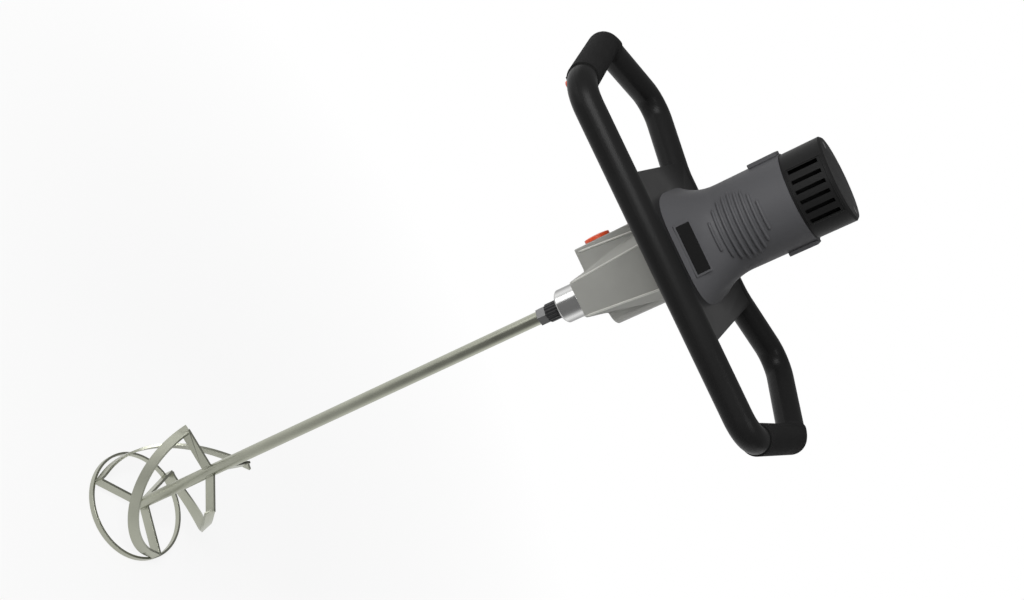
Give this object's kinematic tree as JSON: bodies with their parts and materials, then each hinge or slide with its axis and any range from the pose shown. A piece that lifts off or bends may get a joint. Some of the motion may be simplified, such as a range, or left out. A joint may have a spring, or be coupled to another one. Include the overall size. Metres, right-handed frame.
{
  "type": "hand-held mixing drill",
  "caption": "Hand-held mixing drill: a wide ring handle around a motor with a tapered gearbox, speed selector and a long rod that turns a hooped helical paddle.",
  "frame": {"origin": "on the spindle axis where the nose collar's round wall begins", "axes": "+Z along the spindle from the paddle to the motor, X along the ring handle with the trigger at -X, the handle's straight bar at -Y"},
  "size_m": [0.4681, 0.2494, 0.9291],
  "materials": {
    "zinc_steel": "zinc plated",
    "polished_steel": "polished",
    "black_steel": "black oxide",
    "cast_aluminium": "satin cast",
    "plate_aluminium": "machined",
    "handle_plastic": "smooth black",
    "grip_rubber": "matte",
    "red_plastic": "satin red",
    "trigger_plastic": "black",
    "housing_plastic": "fine texture",
    "cover_plastic": "black",
    "label_film": "bare label place",
    "steel": "machined",
    "lamination_iron": "laminated",
    "copper": "enamelled",
    "inner_plastic": "moulded"
  },
  "bodies": {
    "drill_body": {"nose_collar": "polished_steel", "gearbox_housing": "cast_aluminium", "gearbox_mid_plate": "plate_aluminium", "gearbox_bearing_plate": "plate_aluminium", "handle_lower_shell": "handle_plastic", "handle_upper_shell": "handle_plastic", "left_grip": "grip_rubber", "right_grip": "grip_rubber", "shaft_seal": "grip_rubber", "cord_gland": "grip_rubber", "motor_housing": "housing_plastic", "rear_cover": "cover_plastic", "brush_caps": "cover_plastic", "fan_baffle": "cover_plastic", "label_plate": "label_film", "spindle_front_bearing": "steel", "spindle_rear_bearing": "steel", "layshaft_front_bearing": "steel", "layshaft_rear_bearing": "steel", "armature_front_bearing": "steel", "armature_rear_bearing": "steel", "fork_rail": "steel", "trigger_pin": "steel", "handle_screws": "steel", "gearbox_screws": "steel", "rear_cover_screws": "steel", "field_core": "lamination_iron", "field_coils": "copper", "brush_holders": "copper", "switch_module": "inner_plastic", "control_module": "inner_plastic", "rear_bearing_bridge": "inner_plastic", "carbon_brushes": "inner_plastic"},
    "spindle": {"mixing_rod": "zinc_steel", "front_blade": "zinc_steel", "left_blade": "zinc_steel", "rear_blade": "zinc_steel", "paddle_hoop": "zinc_steel", "coupling_nut": "zinc_steel", "lock_ring": "black_steel", "output_spindle": "steel", "low_gear": "steel", "spindle_circlip": "steel"},
    "high_gear": {"high_gear": "steel"},
    "shift_sleeve": {"shift_sleeve": "steel"},
    "shift_fork": {"shift_fork": "steel"},
    "selector": {"selector_knob": "red_plastic"},
    "layshaft": {"layshaft": "steel", "layshaft_wheel": "steel"},
    "armature": {"armature_shaft": "steel", "armature_core": "lamination_iron", "armature_windings": "copper", "commutator": "copper", "cooling_fan": "inner_plastic"},
    "trigger": {"trigger": "trigger_plastic"},
    "lock_button": {"lock_button": "red_plastic"}
  },
  "joints": [
    {"name": "spindle_spin", "type": "hinge", "parent": "drill_body", "child": "spindle", "pos_m": [0, 0, 0], "axis": [0, 0, 1], "continuous": true},
    {"name": "layshaft_spin", "type": "hinge", "parent": "drill_body", "child": "layshaft", "pos_m": [0, 0.025, 0], "axis": [0, 0, 1], "continuous": true},
    {"name": "high_gear_spin", "type": "hinge", "parent": "drill_body", "child": "high_gear", "pos_m": [0, 0, 0], "axis": [0, 0, 1], "continuous": true},
    {"name": "armature_spin", "type": "hinge", "parent": "drill_body", "child": "armature", "pos_m": [0, 0, 0], "axis": [0, 0, 1], "continuous": true},
    {"name": "selector_turn", "type": "hinge", "parent": "drill_body", "child": "selector", "pos_m": [-0.0466, 0, 0.064], "axis": [1, 0, 0], "range_deg": [0, 180]},
    {"name": "fork_shift", "type": "slide", "parent": "drill_body", "child": "shift_fork", "axis": [0, 0, 1], "range_m": [0, 0.004]},
    {"name": "sleeve_shift", "type": "slide", "parent": "spindle", "child": "shift_sleeve", "axis": [0, 0, 1], "range_m": [0, 0.004]},
    {"name": "trigger_squeeze", "type": "hinge", "parent": "drill_body", "child": "trigger", "pos_m": [-0.19837, -0.02041, 0.132], "axis": [-0.9545, -0.2983, 0], "range_deg": [0, 6], "stiffness_Nm_per_rad": 1.5, "springref_deg": -5.73},
    {"name": "lock_press", "type": "slide", "parent": "drill_body", "child": "lock_button", "axis": [0, 0, 1], "range_m": [0, 0.0025], "stiffness_N_per_m": 600, "springref_m": -0.001}
  ],
  "couplings": [
    {"joint": "layshaft_spin", "follows": "spindle_spin", "ratio": -3.5455},
    {"joint": "high_gear_spin", "follows": "spindle_spin", "ratio": 1.8264},
    {"joint": "armature_spin", "follows": "spindle_spin", "ratio": 16.152},
    {"joint": "selector_turn", "follows": "fork_shift", "rad_per_m": 785.4},
    {"joint": "sleeve_shift", "follows": "fork_shift", "ratio": 1}
  ]
}
